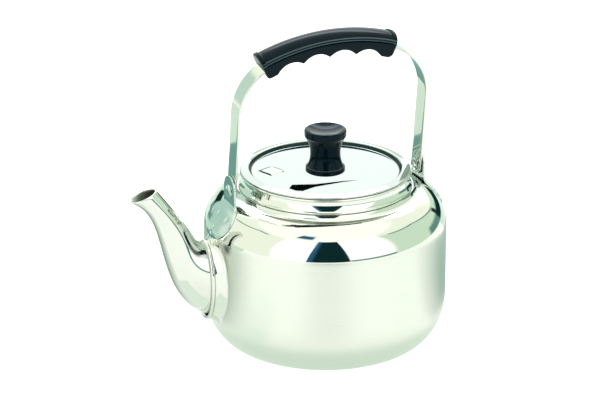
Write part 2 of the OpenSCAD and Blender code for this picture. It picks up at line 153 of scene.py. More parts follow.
def make_mesh(name, verts, faces, sharp=32.0):
    """A smooth mesh in metres, with its edges sharp where faces meet at more than the angle sharp."""
    mesh = bpy.data.meshes.new(name)
    mesh.from_pydata([tuple(np.array(v) * MM) for v in verts], [], faces)
    work = bmesh.new()
    work.from_mesh(mesh)
    bmesh.ops.remove_doubles(work, verts=work.verts, dist=1e-7)
    bmesh.ops.dissolve_degenerate(work, edges=work.edges, dist=1e-8)
    bmesh.ops.recalc_face_normals(work, faces=work.faces)
    work.to_mesh(mesh)
    work.free()
    mesh.shade_smooth()
    mesh.set_sharp_from_angle(angle=math.radians(sharp))
    return mesh


def new_object(name, data):
    item = bpy.data.objects.new(name, data)
    bpy.context.scene.collection.objects.link(item)
    return item


def add_piece(name, mesh, body, slot, material, *nodes):
    """Puts a mesh in the scene on its body with its material, in place of the CAD nodes named. The slot is
    not used.
    """
    piece = new_object(name, mesh)
    mesh.materials.clear()
    mesh.materials.append(material)
    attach(piece, body)
    if nodes:
        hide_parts(*nodes)
    return piece


def join_shapes(*shapes):
    """Several (verts, faces) pairs as one."""
    verts, faces = [], []
    for v, f in shapes:
        start = len(verts)
        verts += [tuple(p) for p in v]
        faces += [tuple(i + start for i in face) for face in f]
    return verts, faces


def lathe(profile, around=AROUND):
    """Turns a closed outline of (radius, height) about the Z axis. Points on the axis become poles."""
    verts, index = [], []
    for r, z in profile:
        if r < 1e-6:
            index.append([len(verts)] * around)
            verts.append((0.0, 0.0, z))
        else:
            index.append(list(range(len(verts), len(verts) + around)))
            for k in range(around):
                a = 2 * math.pi * k / around
                verts.append((r * math.cos(a), r * math.sin(a), z))
    faces = []
    count = len(profile)
    for i in range(count):
        a, b = index[i], index[(i + 1) % count]
        for k in range(around):
            m = (k + 1) % around
            face = [a[k], a[m], b[m], b[k]]
            face = [v for j, v in enumerate(face) if v != face[j - 1]]
            if len(set(face)) >= 3:
                faces.append(tuple(face))
    return verts, faces


def skin(rings, loop=False, caps=True):
    """Joins closed rings of points, from the first to the last, and round to the first where loop is set."""
    rings = [[tuple(p) for p in ring] for ring in rings]
    sides = len(rings[0])
    verts = [p for ring in rings for p in ring]
    faces = []
    last = len(rings) if loop else len(rings) - 1
    for i in range(last):
        j = (i + 1) % len(rings)
        for k in range(sides):
            m = (k + 1) % sides
            faces.append((i * sides + k, i * sides + m, j * sides + m, j * sides + k))
    if caps and not loop:
        faces.append(tuple(range(sides)))
        faces.append(tuple(range((len(rings) - 1) * sides, len(rings) * sides)))
    return verts, faces


def two_sided(front, back):
    """A sheet between two grids of points of the same size, closed all round its rim."""
    rows, count = len(front), len(front[0])
    verts = [p for grid in (front, back) for row in grid for p in row]
    faces = []
    for g in (0, rows * count):
        for i in range(rows - 1):
            for k in range(count - 1):
                a = g + i * count + k
                faces.append((a, a + 1, a + count + 1, a + count))
    first, last = range(count), range((rows - 1) * count, rows * count)
    rim = [*first, *(i * count + count - 1 for i in range(1, rows))]
    rim += [*reversed(last[:-1]), *(i * count for i in reversed(range(rows - 1)))]
    for a, b in zip(rim, rim[1:]):
        faces.append((a, b, b + rows * count, a + rows * count))
    return verts, faces


def leaned(shape):
    """The bail is drawn upright with the rivets at height 0, then leaned about them."""
    verts, faces = shape
    c, s = math.cos(LEAN), math.sin(LEAN)
    return [(x, y * c - z * s, PIVOT_Z + z * c + y * s) for x, y, z in verts], faces


def body_radius(z, inset=0.0):
    """Outside radius of the pot and shoulder at height z."""
    if z < CORNER_H:
        drop = min(1.0, (CORNER_H - z) / (CORNER_H - inset))
        return BASE_R + (POT_R - BASE_R - inset) * math.sqrt(1 - drop * drop)
    if z > WALL_TOP:
        rise = min(1.0, (z - WALL_TOP) / (SHOULDER_R - inset))
        return SHOULDER_CX + (SHOULDER_R - inset) * math.sqrt(1 - rise * rise)
    return POT_R - inset


# ---------------------------------------------------------------- materials


class Nodes:
    """Short ways to put nodes together, for materials and for the tent."""

    def __init__(self, owner):
        owner.use_nodes = True
        self.nodes = owner.node_tree.nodes
        self.links = owner.node_tree.links

    def feed(self, node, keys, values):
        """Sets each input of a node to its number or colour, or links it to another node's output."""
        for key, value in zip(keys, values):
            if isinstance(value, bpy.types.NodeSocket):
                self.links.new(value, node.inputs[key])
            else:
                node.inputs[key].default_value = value

    def math(self, operation, a, b=0.0):
        node = self.nodes.new("ShaderNodeMath")
        node.operation = operation
        self.feed(node, (0, 1), (a, b))
        return node.outputs[0]

    def times(self, a, b):
        return self.math("MULTIPLY", a, b)

    def minus(self, a, b):
        return self.math("SUBTRACT", a, b)

    def mix(self, mask, below, above):
        """The colour below where the mask is 0, and the colour above where it is 1."""
        node = self.nodes.new("ShaderNodeMix")
        node.data_type = "RGBA"
        colours = [c if isinstance(c, bpy.types.NodeSocket) else (*c, 1) for c in (below, above)]
        self.feed(node, (0, 6, 7), (mask, *colours))
        return node.outputs[2]


class Shader(Nodes):
    """A node material."""

    def __init__(self, name):
        self.material = bpy.data.materials.new(name)
        super().__init__(self.material)
        self.base = self.nodes["Principled BSDF"]

    def set(self, **sockets):
        for key, value in sockets.items():
            self.base.inputs[key.replace("_", " ")].default_value = value

    def link(self, output, socket):
        self.links.new(output, self.base.inputs[socket])

    def vector(self, x, y, z):
        node = self.nodes.new("ShaderNodeCombineXYZ")
        self.feed(node, (0, 1, 2), (x, y, z))
        return node.outputs[0]

    def radius(self, x, y):
        """Distance from the kettle's axis."""
        return self.math("SQRT", self.math("ADD", self.times(x, x), self.times(y, y)))

    def position(self):
        """The object's own coordinates, as x, y and z outputs and the vector itself."""
        coordinates = self.nodes.new("ShaderNodeTexCoord")
        split = self.nodes.new("ShaderNodeSeparateXYZ")
        self.links.new(coordinates.outputs["Object"], split.inputs[0])
        return split.outputs[0], split.outputs[1], split.outputs[2], coordinates.outputs["Object"]

    def noise(self, vector, scale, detail=2.0, roughness=0.5):
        node = self.nodes.new("ShaderNodeTexNoise")
        self.feed(node, ("Vector", "Scale", "Detail", "Roughness"), (vector, scale, detail, roughness))
        return node.outputs[0]

    def remap(self, value, low, high, to_low, to_high):
        node = self.nodes.new("ShaderNodeMapRange")
        self.feed(node, range(5), (value, low, high, to_low, to_high))
        return node.outputs[0]

    def bump(self, height, strength, distance):
        node = self.nodes.new("ShaderNodeBump")
        self.feed(node, ("Strength", "Distance", "Height"), (strength, distance, height))
        self.link(node.outputs[0], "Normal")

    def specks(self, scale, detail, share, low, high):
        """Roughness that wanders from low to high in fine specks. Returns the specks."""
        grain = self.noise(self.position()[3], scale, detail, share)
        self.link(self.remap(grain, 0.3, 0.7, low, high), "Roughness")
        return grain


def satin_steel():
    """Steel spun with a fine abrasive: faint rings round the pot and a broad soft gloss."""
    s = Shader("satin steel")
    s.set(Base_Color=(0.60, 0.635, 0.555, 1), Metallic=1.0, Anisotropic=0.7, Anisotropic_Rotation=0.25)
    x, y, z, _ = s.position()
    run = s.times(s.math("ARCTAN2", y, x), 1.2)
    rise, away = [s.times(v, 2200.0) for v in (z, s.radius(x, y))]
    lines = s.noise(s.vector(run, rise, away), 1.0, 3.0, 0.6)
    s.link(s.remap(lines, 0.3, 0.7, 0.27, 0.36), "Roughness")
    s.bump(lines, 0.12, 0.00006)
    return s.material


def mirror_steel():
    """Buffed steel with a trace of waviness left by the press."""
    s = Shader("mirror steel")
    s.set(Base_Color=(0.575, 0.60, 0.535, 1), Metallic=1.0)
    _, _, _, place = s.position()
    haze = s.noise(place, 60.0, 3.0)
    s.link(s.remap(haze, 0.35, 0.7, 0.035, 0.075), "Roughness")
    s.bump(s.noise(place, 18.0, 1.0), 0.10, 0.0004)
    return s.material


def lid_steel_with_painted_step_shade():
    """The lid's steel, bright on the panel and the brim, with shade painted into the step round the panel:
    there the base colour is dark and the roughness higher."""
    s = Shader("lid steel with painted step shade")
    s.set(Metallic=1.0)
    x, y, _, place = s.position()
    radius = s.radius(x, y)
    inner = s.remap(radius, (PANEL_R - 1.3) * MM, (PANEL_R - 0.9) * MM, 0.0, 1.0)
    outer = s.remap(radius, (PANEL_R + 0.8) * MM, (PANEL_R + 1.2) * MM, 1.0, 0.0)
    # The step mask paints shade into the step: a dark base colour and more roughness in that ring.
    step = s.times(inner, outer)
    s.link(s.mix(step, (0.415, 0.450, 0.415), (0.012, 0.028, 0.026)), "Base Color")
    haze = s.remap(s.noise(place, 60.0, 3.0), 0.35, 0.7, 0.008, 0.022)
    s.link(s.math("ADD", haze, s.times(step, 0.2)), "Roughness")
    s.bump(s.noise(place, 18.0, 1.0), 0.02, 0.0002)
    return s.material


def ear_steel():
    """Tumbled steel of the ears, rivets and washers, a little duller than the shoulder."""
    s = Shader("ear steel")
    s.set(Base_Color=(0.44, 0.53, 0.48, 1), Metallic=1.0)
    s.bump(s.specks(900.0, 3.0, 0.6, 0.10, 0.18), 0.10, 0.00005)
    return s.material


def black_phenolic(name, gloss, colour):
    """Moulded black plastic with a deep gloss and faint flow marks."""
    s = Shader(name)
    s.set(Base_Color=(*colour, 1), Specular_IOR_Level=gloss, Specular_Tint=(0.62, 0.90, 1.0, 1))
    s.bump(s.specks(220.0, 3.0, 0.55, 0.10, 0.18), 0.08, 0.0001)
    return s.material


def painted_slit_shadow():
    """Painted shadow for the cut round the vent hood: dark, rough metal where the slit would lie in shade."""
    s = Shader("painted slit shadow")
    s.set(Base_Color=(0.010, 0.022, 0.021, 1), Metallic=1.0)
    s.specks(700.0, 2.0, 0.5, 0.25, 0.4)
    return s.material


def yellow_brass():
    """Turned brass, slightly dull."""
    s = Shader("yellow brass")
    s.set(Base_Color=(0.78, 0.58, 0.25, 1), Metallic=1.0)
    s.specks(700.0, 2.0, 0.5, 0.22, 0.34)
    return s.material


SATIN = satin_steel()
MIRROR = mirror_steel()
LID = lid_steel_with_painted_step_shade()
EAR = ear_steel()
BLACK = black_phenolic("black phenolic", 0.12, (0.001, 0.004, 0.006))
KNOB_BLACK = black_phenolic("black phenolic, buffed", 0.10, (0.001, 0.006, 0.010))
# The rib copy is brighter and far glossier than the black phenolic: it paints highlight lines along the
# grip's ribs.
RIB_HIGHLIGHT_BLACK = black_phenolic("black phenolic, painted rib highlight", 1.0, (0.004, 0.010, 0.012))
SLIT_SHADOW = painted_slit_shadow()
BRASS = yellow_brass()


# ---------------------------------------------------------------- pot


def pot_wall():
    """The satin pot with its rounded foot, pierced with strainer holes behind the spout."""
    corner = (BASE_R, CORNER_H)
    outside = path(
        line((0, 0), (BASE_R, 0), 5),
        arc(corner, (POT_R - BASE_R, CORNER_H), -90, 0, 48),
        line((POT_R, CORNER_H), (POT_R, WALL_TOP), 3),
        arc(SHOULDER_AT, SHOULDER_R, 0, SEAM_OUTER, 4),
    )
    inside = path(
        arc(SHOULDER_AT, SHOULDER_R - SHEET, SEAM_INNER, 0, 4),
        line((POT_R - SHEET, WALL_TOP), (POT_R - SHEET, CORNER_H), 3),
        arc(corner, (POT_R - BASE_R - SHEET, CORNER_H - SHEET), 0, -90, 48),
        line((BASE_R, SHEET), (0, SHEET), 5),
    )
    mesh = make_mesh("pot_wall", *lathe(outside + inside))
    low, high = cad_box("spout_bead")
    hole_r, pitch = 3.2, 10.0
    middle_z = (low[2] + high[2]) / 2
    drills = []
    for row in range(-2, 3):
        for column in (-1, 0, 1):
            rings = [
                [(x, column * pitch + hole_r * math.sin(a), middle_z + row * pitch + hole_r * math.cos(a))
                 for a in full_turn(24)]
                for x in (-POT_R - 4, -POT_R + 8)
            ]
            drills.append(skin(rings))
    drill = new_object("drill", make_mesh("drill", *join_shapes(*drills)))
    blank = new_object("blank", mesh)
    cut = blank.modifiers.new("holes", "BOOLEAN")
    cut.operation = "DIFFERENCE"
    cut.solver = "EXACT"
    cut.object = drill
    bpy.context.view_layer.update()
    evaluated = blank.evaluated_get(bpy.context.evaluated_depsgraph_get())
    pierced = bpy.data.meshes.new_from_object(evaluated)
    for spare in (blank, drill):
        bpy.data.objects.remove(spare)
    pierced.name = "pot_wall"
    pierced.shade_smooth()
    pierced.set_sharp_from_angle(angle=math.radians(32))
    add_piece("pot_wall", pierced, "pot", "satin_steel", SATIN, "pot_shell")


def shoulder():
    """The polished quarter-round ring between the seam and the neck."""
    profile = path(
        arc(SHOULDER_AT, SHOULDER_R, SEAM_OUTER, 90, 72),
        line((SHOULDER_CX, WALL_TOP + SHOULDER_R), (MOUTH_R, WALL_TOP + SHOULDER_R)),
        line((MOUTH_R, WALL_TOP + SHOULDER_R - SHEET), (SHOULDER_CX, WALL_TOP + SHOULDER_R - SHEET)),
        arc(SHOULDER_AT, SHOULDER_R - SHEET, 90, SEAM_INNER, 48),
    )
    mesh = make_mesh("shoulder", *lathe(profile))
    add_piece("shoulder", mesh, "pot", "polished_steel", MIRROR, "shoulder_shell")


def neck():
    """The flared foot, the bead, the ring that curves out to it, and the rolled rim."""
    top = WALL_TOP + SHOULDER_R
    flare_r = 7.0
    flare = polar(SHOULDER_AT, SHOULDER_R + flare_r, 75)
    wall = MOUTH_R + SHEET
    turn_r, turn = 8.4, 47
    turn_centre = (wall + turn_r, RIM_Z - 3.4)
    bead_r = 1.2
    bead = polar(turn_centre, turn_r + bead_r, 180 + turn)
    roll = (MOUTH_R + 1.85, RIM_Z)
    roll_r = 1.2
    under = 360 - math.degrees(math.acos((wall - roll[0]) / roll_r))
    profile = path(
        arc(flare, flare_r, 255, 203, 20),
        arc(bead, bead_r, -60, turn, 20),
        arc(turn_centre, turn_r, 180 + turn, 180, 30),
        line((wall, turn_centre[1]), (wall, roll[1] - 0.86), 1),
        arc(roll, roll_r, under, 360 + 90, 24),
        arc(roll, (roll[0] - MOUTH_R, roll_r), 90, 180, 8),
        line((MOUTH_R, RIM_Z), (MOUTH_R, top - 0.2), 1),
        line((MOUTH_R, top - 0.2), (SHOULDER_CX, top - 0.2), 1),
        arc(SHOULDER_AT, SHOULDER_R - 0.2, 90, 75, 4),
    )
    mesh = make_mesh("neck", *lathe(profile))
    add_piece("neck", mesh, "pot", "polished_steel", MIRROR, "neck_ring")


# ---------------------------------------------------------------- spout

SPOUT_BELLY = [(-99, 34.5), (-109, 38), (-141, 40), (-146, 98.5), (-139, 127), (-170.5, 143.5)]
SPOUT_BACK = [(-99, 98), (-109, 96), (-126, 110.5), (-100, 89.5), (-148, 151)]
SPOUT_HALF_W = [17.2, 17.1, 9.6, 8.3]
SPOUT_WALL = 1.0
ROOT_Z = (SPOUT_BELLY[0][1] + SPOUT_BACK[0][1]) / 2
ROOT_HALF_H = (SPOUT_BACK[0][1] - SPOUT_BELLY[0][1]) / 2
ROOT_HALF_W = SPOUT_HALF_W[0]


def guided(points, t):
    """A point on the smooth curve that a list of control points guides, at t from 0 to 1."""
    points = [np.array(p, float) for p in points]
    while len(points) > 1:
        points = [a * (1 - t) + b * t for a, b in zip(points, points[1:])]
    return points[0]


def spout_ring(t, inset, sides, on_wall=False):
    low, high = guided(SPOUT_BELLY, t), guided(SPOUT_BACK, t)
    middle, half = (low + high) / 2, (high - low) / 2
    tall = half * (1 - inset / np.linalg.norm(half))
    wide = float(guided(SPOUT_HALF_W, t)) - inset
    ring = []
    for a in full_turn(sides):
        x = middle[0] + tall[0] * math.cos(a)
        y = wide * math.sin(a)
        z = middle[1] + tall[1] * math.cos(a)
        if on_wall:
            x = -math.sqrt((body_radius(z) - 0.6) ** 2 - y * y)
        ring.append((x, y, z))
    return ring


def spout():
    """A seamless S-shaped tube from the pot wall to the slanted mouth, with a rolled lip."""
    sides, count = 96, 110
    steps = [i / count for i in range(1, count + 1)]
    lip = SPOUT_WALL / 2
    outer = [spout_ring(t, 0, sides) for t in steps]
    inner = [spout_ring(t, SPOUT_WALL, sides) for t in reversed(steps)]
    outward = np.mean(outer[-1], 0) - np.mean(outer[-2], 0)
    outward = outward / np.linalg.norm(outward)
    edge = []
    for a in np.radians([30, 60, 90, 120, 150]):
        ring = np.array(spout_ring(1, lip - lip * math.cos(a), sides))
        edge.append(ring + outward * lip * 0.6 * math.sin(a))
    rings = [spout_ring(0, 0, sides, True)] + outer + edge + inner + [spout_ring(0, SPOUT_WALL, sides, True)]
    mesh = make_mesh("spout_tube", *skin(rings, loop=True), sharp=50)
    add_piece("spout_tube", mesh, "pot", "polished_steel", MIRROR, "spout")
    mesh.materials.append(SATIN)
    for face in mesh.polygons[(count + 5) * sides:-sides]:
        face.material_index = 1


def root_point(a, half_w, half_h):
    return half_w * math.sin(a), ROOT_Z + half_h * math.cos(a)


def spout_collar():
    """The concave flare that carries the pot wall out to the spout."""
    sides, steps = 160, 24
    lip_w, lip_h = ROOT_HALF_W + 1.6, ROOT_HALF_H + 1.6
    reach, flare_w, flare_h = 5.5, 27 - lip_w, 7.0
    around = full_turn(sides)
    rings = []
    for i in range(steps + 1):
        b = math.radians(90 * i / steps)
        spread, lift = 1 - math.sin(b), 1 - math.cos(b)
        ring = []
        for a in around:
            y, z = root_point(a, lip_w + flare_w * spread, lip_h + flare_h * spread)
            on_wall = math.sqrt(body_radius(z) ** 2 - y * y) - 0.05 + (reach + 0.05) * lift
            flat = POT_R + reach
            ring.append((-(on_wall * (1 - lift) + flat * lift), y, z))
        rings.append(ring)
    for depth in (0.0, 5.0):
        ring = []
        for a in around:
            y, z = root_point(a, lip_w - 1.2, lip_h - 1.2)
            x = POT_R + reach if depth == 0 else math.sqrt(body_radius(z) ** 2 - y * y) - 0.4
            ring.append((-x, y, z))
        rings.append(ring)
    heel = []
    for a in around:
        y, z = root_point(a, 27, lip_h + flare_h)
        heel.append((-(math.sqrt(body_radius(z) ** 2 - y * y) - 0.4), y, z))
    rings.append(heel)
    mesh = make_mesh("collar_flare", *skin(rings, loop=True))
    add_piece("collar_flare", mesh, "pot", "polished_steel", MIRROR, "spout_collar")


def spout_bead():
    """The ground-down bead of weld between the collar and the spout."""
    sides, around = 20, 160
    bead_r = 1.8
    half_w, half_h = ROOT_HALF_W + 1.2, ROOT_HALF_H + 1.0
    rings = []
    for a in full_turn(around):
        ring = []
        for b in full_turn(sides):
            out = bead_r * math.cos(b)
            y, z = root_point(a, half_w + out, half_h + out)
            ring.append((-(POT_R + 6.3 + bead_r * math.sin(b)), y, z))
        rings.append(ring)
    mesh = make_mesh("weld_bead", *skin(rings, loop=True))
    add_piece("weld_bead", mesh, "pot", "polished_steel", MIRROR, "spout_bead")


# ---------------------------------------------------------------- ears and pivots

SPOT_WELDS = [(13, 121), (-3, 122), (-14, 120), (1, 112.5), (-1, 107)]


def ear_half_width(z):
    """Half of an ear's width at height z: an oval pad, then the tongue with its round top."""
    if z > TONGUE_Z:
        top = math.sqrt(max(0.0, TONGUE_R ** 2 - (z - TONGUE_Z) ** 2))
    else:
        top = TONGUE_R + 0.07 * (TONGUE_Z - z)
    if z >= PAD_Z + PAD_HALF_H:
        return top
    pad = PAD_HALF_W * math.sqrt(max(0.0, 1 - ((z - PAD_Z) / PAD_HALF_H) ** 2))
    if z < PAD_Z:
        return pad
    blend = 1.2
    return blend * math.log(math.exp(pad / blend) + math.exp(top / blend))


def ear(name, side, node):
    """A pad spot-welded to the shoulder, bent up into the tongue that holds the rivet."""
    bottom, crease, top = PAD_Z - PAD_HALF_H, 128.3, TONGUE_Z + TONGUE_R
    low = [bottom + (crease - bottom) * (1 - math.cos(math.radians(a))) for a in np.linspace(0, 90, 60)]
    high = [crease + (top - crease) * math.sin(math.radians(a)) for a in np.linspace(0, 90, 60)]
    levels = low + high[1:]
    outline = np.array([(s * ear_half_width(z), z) for s in (1, -1) for z in np.linspace(bottom, top, 400)])
    columns = [math.sin(math.radians(a)) for a in np.linspace(-90, 90, 81)]
    edge_r = 0.55
    turn = 1.5

    def front(y, z, rise):
        """Distance from the pot's axis of a point rise above the back of the ear."""
        ring = body_radius(z, -rise)
        pad = math.sqrt(max(0.0, ring * ring - y * y))
        tongue = TONGUE_X + rise
        return tongue + turn * math.log1p(math.exp((pad - tongue) / turn)) if pad < tongue + 20 else pad

    grids = []
    for face in ("front", "back"):
        grid = []
        for z in levels:
            row = []
            half = round(ear_half_width(z), 5)
            for u in columns:
                y = u * half
                rise = 0.05
                if face == "front":
                    gap = np.hypot(outline[:, 0] - y, outline[:, 1] - z).min()
                    drop = edge_r - math.sqrt(max(0.0, edge_r ** 2 - max(0.0, edge_r - gap) ** 2))
                    rise = EAR_T - drop
                    for wy, wz in SPOT_WELDS:
                        away = math.hypot(y - wy, z - wz)
                        rise -= 0.55 * math.exp(-((away / 1.5) ** 4))
                row.append((side * front(y, z, rise), side * y, z))
            grid.append(row)
        grids.append(grid)
    mesh = make_mesh(name, *two_sided(*grids), sharp=40)
    add_piece(name, mesh, "pot", "ear_steel", EAR, node)


def along_x(shape, side):
    """Turns a lathed shape from the Z axis to point outwards along X at the rivets' height."""
    verts, faces = shape
    return [(side * z, side * y, PIVOT_Z + x) for x, y, z in verts], faces


def rivet(name, side, node):
    """A headed pin: domed outside head, flatter inside head."""
    head_r, head_h, shank = 5.6, 1.8, 3.0
    inner = LEG_X - STRAP_T / 2 - 0.95
    outer = TONGUE_X + EAR_T
    profile = path(
        [(0, inner - head_h)],
        arc((0, inner - 0.4), (head_r, head_h - 0.4), -88, 0, 16),
        [(head_r, inner), (shank, inner), (shank, outer), (head_r, outer)],
        arc((0, outer + 0.4), (head_r, head_h - 0.4), 0, 88, 16),
        [(0, outer + head_h)],
    )
    mesh = make_mesh(name, *along_x(lathe(profile, 64), side), sharp=40)
    add_piece(name, mesh, "pot", "ear_steel", EAR, node)


def washer(name, side, node):
    outer_r, inner_r, thick, bevel = 7.4, 3.1, 0.8, 0.2
    low = LEG_X - STRAP_T / 2 - thick
    high = low + thick
    profile = [
        (inner_r, low), (outer_r - bevel, low), (outer_r, low + bevel),
        (outer_r, high - bevel), (outer_r - bevel, high), (inner_r, high),
    ]
    mesh = make_mesh(name, *along_x(lathe(profile, 64), side))
    add_piece(name, mesh, "bail", "ear_steel", EAR, node)


# ---------------------------------------------------------------- bail and grip


def bail_line():
    """The middle line of the strap from the spout's leg to the rear leg, with its outward normals."""
    points = []
    foot = -STRAP_HALF_W
    for z in np.linspace(foot, 0, 24, endpoint=False):
        points.append((-LEG_X, foot * math.sin(math.pi / 2 * (z / foot)), -1, 0))
    for z in np.linspace(0, SIDE_CENTRE[1], 24, endpoint=False):
        points.append((-LEG_X, z, -1, 0))
    for a in np.linspace(180, 90 + BAIL_ARC_HALF, 40, endpoint=False):
        points.append((*polar((-SIDE_CENTRE[0], SIDE_CENTRE[1]), SIDE_ARC_R, a), *polar((0, 0), 1, a)))
    for a in np.linspace(90 + BAIL_ARC_HALF, 90, 24, endpoint=False):
        points.append((*polar((0, ARC_CENTRE_Z), BAIL_ARC_R, a), *polar((0, 0), 1, a)))
    right = [(-x, z, -nx, nz) for x, z, nx, nz in reversed(points)]
    return points + [(0.0, BAIL_TOP, 0.0, 1.0)] + right


def strap():
    """One bent flat with rounded edges, its ends round about the rivets."""
    edge_r = 0.55
    half_t = STRAP_T / 2
    rings = []
    for x, z, nx, nz in bail_line():
        half_w = STRAP_HALF_W if z > 0 else math.sqrt(max(0.01, STRAP_HALF_W ** 2 - z * z))
        corners = [(1, 1, 0), (-1, 1, 90), (-1, -1, 180), (1, -1, 270)]
        ring = []
        inset = min(edge_r, half_w * 0.5)
        for sy, st, start in corners:
            corner = (sy * (half_w - inset), st * (half_t - edge_r))
            for y, t in arc(corner, (inset, edge_r), start, start + 90, 5):
                ring.append((x + nx * t, y, z + nz * t))
            if (sy, st) in ((1, 1), (-1, -1)):
                edge = sy * (half_w - inset)
                for k in range(1, 8):
                    y = edge * (1 - k / 4)
                    ring.append((x + nx * st * half_t, y, z + nz * st * half_t))
        rings.append(ring)
    mesh = make_mesh("strap", *leaned(skin(rings)), sharp=50)
    add_piece("strap", mesh, "bail", "polished_steel", MIRROR, "bail_strap")


def grip_point(angle, rise, y):
    """A point of the grip: angle in degrees from the bail's middle, rise above the grip's arc."""
    a = math.radians(angle)
    r = GRIP_ARC_R + rise
    return r * math.sin(a), y, GRIP_CENTRE_Z + r * math.cos(a)


def smooth_step(value, low, high):
    t = min(1.0, max(0.0, (value - low) / (high - low)))
    return t * t * (3 - 2 * t)


GRIP_FROM = -GRIP_HALF - GRIP_SHIFT
GRIP_TO = GRIP_HALF - GRIP_SHIFT
GRIP_END = 0.25


def end_inset(angle, depth):
    """How far the section shrinks close to the grip's ends, which rounds them over."""
    gap = min(angle - GRIP_FROM, GRIP_TO - angle)
    if gap >= GRIP_END:
        return 0.0
    return depth * (1 - math.sqrt(max(0.0, 1 - (1 - gap / GRIP_END) ** 2)))


def grip_angles(extra=()):
    ends = [GRIP_END * (1 - math.cos(math.radians(a))) for a in (0, 20, 40, 60, 75, 90)]
    angles = [GRIP_FROM + e for e in ends] + [GRIP_TO - e for e in ends]
    angles += list(np.linspace(GRIP_FROM + 0.4, GRIP_TO - 0.4, 170))
    return sorted(set(round(a, 5) for a in angles + list(extra)))


def grip_top():
    """The rounded upper half, with a proud collar at each end and two fine ribs along each side."""
    collar, step = 1.3, 0.12
    extra = []
    for edge in (GRIP_FROM + collar, GRIP_TO - collar):
        extra += [edge + step * k / 2 for k in range(-2, 3)]
    rings = []
    for angle in grip_angles(extra):
        proud = max(1 - smooth_step(angle, GRIP_FROM + collar - step, GRIP_FROM + collar + step),
                    smooth_step(angle, GRIP_TO - collar - step, GRIP_TO - collar + step))
        shrink = end_inset(angle, 0.6)
        half_w = 10.7 + 0.8 * proud - shrink
        height = 6.6 + 1.0 * proud - shrink
        ring = [grip_point(angle, GRIP_SPLIT, y) for y in np.linspace(-half_w + 0.6, half_w - 0.6, 5)]
        for t in np.linspace(0, 180, 73):
            c, s = math.cos(math.radians(t)), math.sin(math.radians(t))
            rise = GRIP_SPLIT + height * s
            rib = 0.0
            for at, size in ((GRIP_SPLIT + 1.0, 0.6), (GRIP_SPLIT + 3.0, 0.65)):
                rib += size * math.exp(-(((rise - at) / 0.42) ** 2)) * (1 - proud)
            ring.append(grip_point(angle, rise, (half_w + rib) * c))
        rings.append(ring)
    mesh = make_mesh("grip_back", *leaned(skin(rings)), sharp=38)
    add_piece("grip_back", mesh, "bail", "black_plastic", BLACK, "grip_top")
    # Faces along the two ribs' crests take the brighter copy, which paints the highlight lines on the grip.
    mesh.materials.append(RIB_HIGHLIGHT_BLACK)
    for face in mesh.polygons:
        x, y, z = face.center / MM
        lift = z - PIVOT_Z
        y, z = y * math.cos(LEAN) + lift * math.sin(LEAN), lift * math.cos(LEAN) - y * math.sin(LEAN)
        rise = math.hypot(x, z - GRIP_CENTRE_Z) - GRIP_ARC_R - GRIP_SPLIT
        if abs(y) > 9.5 and min(abs(rise - 1.0), abs(rise - 3.0)) < 0.45:
            face.material_index = 1


FINGER_PITCH = 8.9
FINGER_R = 15.0
FINGER_FLOOR = 1.0
GRIP_BELLY = 6.0
NOSE_R = 3.4


def finger_side(angle):
    """Height of the finger side below the grip's arc: a belly scooped by four round grooves."""
    centre_r = GRIP_ARC_R - FINGER_FLOOR - FINGER_R
    heights = [-GRIP_BELLY]
    for i in range(4):
        offset = math.radians(angle - ((i - 1.5) * FINGER_PITCH - GRIP_SHIFT))
        across = centre_r * math.sin(offset)
        if abs(across) < FINGER_R:
            heights.append(centre_r * math.cos(offset) + math.sqrt(FINGER_R ** 2 - across ** 2) - GRIP_ARC_R)
    soft = 0.45
    return soft * math.log(sum(math.exp(h / soft) for h in heights))


def grip_bottom():
    """The lower half with its finger grooves, softly rounded underneath."""
    rings = []
    for angle in grip_angles():
        shrink = end_inset(angle, 0.6)
        half_w = 11.5 - shrink
        top = GRIP_SPLIT - 0.15
        gap = max(0.0, math.radians(min(angle - GRIP_FROM, GRIP_TO - angle)) * GRIP_ARC_R)
        nose = NOSE_R - math.sqrt(NOSE_R ** 2 - max(0.0, NOSE_R - gap) ** 2)
        floor = finger_side(angle) + shrink + nose
        soft = 3.4
        ring = [grip_point(angle, top, y) for y in np.linspace(-half_w + 0.4, half_w - 0.4, 7)]
        ring += [grip_point(angle, top - 0.12, half_w - 0.12)]
        for r in np.linspace(top - 0.4, floor + soft, 8):
            ring.append(grip_point(angle, r, half_w))
        for y, r in arc((half_w - soft, floor + soft), soft, 0, -90, 12)[1:]:
            ring.append(grip_point(angle, r, y))
        for y in np.linspace(half_w - soft, soft - half_w, 10)[1:-1]:
            ring.append(grip_point(angle, floor, y))
        for y, r in arc((soft - half_w, floor + soft), soft, -90, -180, 12):
            ring.append(grip_point(angle, r, y))
        for r in np.linspace(floor + soft, top - 0.4, 8)[1:]:
            ring.append(grip_point(angle, r, -half_w))
        ring += [grip_point(angle, top - 0.12, -half_w + 0.12)]
        rings.append(ring)
    mesh = make_mesh("grip_fingers", *leaned(skin(rings)), sharp=38)
    add_piece("grip_fingers", mesh, "bail", "black_plastic", BLACK, "grip_bottom")


# ---------------------------------------------------------------- lid

VENT = (-43.5 * math.cos(math.radians(20)), 43.5 * math.sin(math.radians(20)))
VENT_TURN = math.radians(22)
VENT_LEN = 14.0
VENT_HALF_W = 7.0
HOOD_RISE = 0.9


def at_vent(x, y, z):
    c, s = math.cos(VENT_TURN), math.sin(VENT_TURN)
    return VENT[0] + x * c - y * s, VENT[1] + x * s + y * c, PANEL_Z + z


